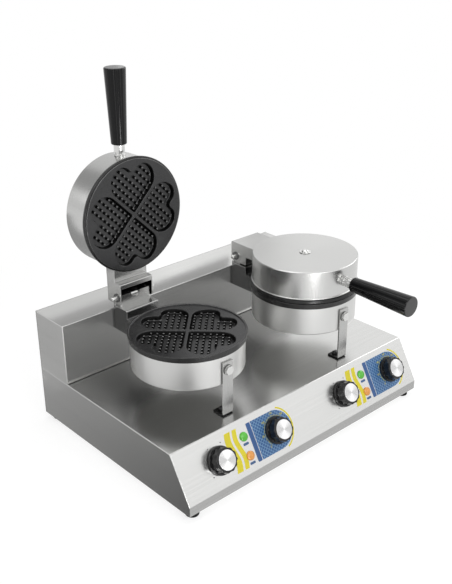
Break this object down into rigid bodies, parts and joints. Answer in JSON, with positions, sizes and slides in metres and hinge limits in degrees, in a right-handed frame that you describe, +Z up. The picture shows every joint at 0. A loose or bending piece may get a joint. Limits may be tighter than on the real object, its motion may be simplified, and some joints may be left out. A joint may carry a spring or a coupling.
{
  "type": "double waffle maker",
  "caption": "Countertop waffle maker: two round hinged irons with heart-shaped moulds on a sheet-steel base with a sloped control panel.",
  "frame": {"origin": "on the floor under the middle of the object's box", "axes": "+X to the right of someone in front of it, +Y to the back, +Z up"},
  "size_m": [0.535, 0.4714, 0.5969],
  "materials": {
    "stainless": "brushed",
    "bright_steel": "polished",
    "coated_iron": "satin non-stick coating",
    "bakelite": "glossy moulded",
    "aluminium": "turned face",
    "element_steel": "heat-stained tube",
    "ceramic": "unglazed",
    "nylon": "matt moulded",
    "rubber": "matt",
    "green_lens": "glossy lens",
    "orange_lens": "glossy lens"
  },
  "bodies": {
    "base": {"base_shell": "stainless", "rear_box": "stainless", "back_panel": "stainless", "bottom_plate": "stainless", "foot_front_left": "rubber", "foot_front_right": "rubber", "foot_rear_left": "rubber", "foot_rear_right": "rubber", "cable_gland": "nylon", "terminal_block": "ceramic", "left_timer_body": "ceramic", "left_thermostat_body": "ceramic", "left_power_lamp": "green_lens", "left_heat_lamp": "orange_lens", "left_lower_housing": "stainless", "left_lower_plate": "coated_iron", "left_lower_heater": "element_steel", "left_leg": "stainless", "left_leg_bolt": "bright_steel", "left_hinge_block": "stainless", "left_hinge_pin": "bright_steel", "left_hinge_nut": "bright_steel", "right_timer_body": "ceramic", "right_thermostat_body": "ceramic", "right_power_lamp": "green_lens", "right_heat_lamp": "orange_lens", "right_lower_housing": "stainless", "right_lower_plate": "coated_iron", "right_lower_heater": "element_steel", "right_leg": "stainless", "right_leg_bolt": "bright_steel", "right_hinge_block": "stainless", "right_hinge_pin": "bright_steel", "right_hinge_nut": "bright_steel"},
    "left_lid": {"left_lid_housing": "stainless", "left_lid_plate": "coated_iron", "left_lid_heater": "element_steel", "left_lid_bracket": "stainless", "left_lid_screw": "bright_steel", "left_handle_stem": "bright_steel", "left_handle_grip": "bakelite"},
    "right_lid": {"right_lid_housing": "stainless", "right_lid_plate": "coated_iron", "right_lid_heater": "element_steel", "right_lid_bracket": "stainless", "right_lid_screw": "bright_steel", "right_handle_stem": "bright_steel", "right_handle_grip": "bakelite"},
    "left_timer_dial": {"left_timer_knob": "bakelite", "left_timer_cap": "aluminium", "left_timer_spindle": "bright_steel"},
    "left_thermostat_dial": {"left_thermostat_knob": "bakelite", "left_thermostat_cap": "aluminium", "left_thermostat_spindle": "bright_steel"},
    "right_timer_dial": {"right_timer_knob": "bakelite", "right_timer_cap": "aluminium", "right_timer_spindle": "bright_steel"},
    "right_thermostat_dial": {"right_thermostat_knob": "bakelite", "right_thermostat_cap": "aluminium", "right_thermostat_spindle": "bright_steel"}
  },
  "joints": [
    {"name": "left_lid_hinge", "type": "hinge", "parent": "base", "child": "left_lid", "pos_m": [-0.1335, 0.1327, 0.2285], "axis": [-1, 0, 0], "range_deg": [-90.2, 0]},
    {"name": "right_lid_hinge", "type": "hinge", "parent": "base", "child": "right_lid", "pos_m": [0.1335, 0.1327, 0.2285], "axis": [-1, 0, 0], "range_deg": [0, 90.2]},
    {"name": "left_timer_turn", "type": "hinge", "parent": "base", "child": "left_timer_dial", "pos_m": [-0.19, -0.14394, 0.06241], "axis": [0, 0.8638, -0.5039], "range_deg": [0, 255]},
    {"name": "left_thermostat_turn", "type": "hinge", "parent": "base", "child": "left_thermostat_dial", "pos_m": [-0.07, -0.14394, 0.06241], "axis": [0, 0.8638, -0.5039], "range_deg": [0, 270]},
    {"name": "right_timer_turn", "type": "hinge", "parent": "base", "child": "right_timer_dial", "pos_m": [0.091, -0.14394, 0.06241], "axis": [0, 0.8638, -0.5039], "range_deg": [0, 255]},
    {"name": "right_thermostat_turn", "type": "hinge", "parent": "base", "child": "right_thermostat_dial", "pos_m": [0.213, -0.14394, 0.06241], "axis": [0, 0.8638, -0.5039], "range_deg": [0, 270]}
  ]
}
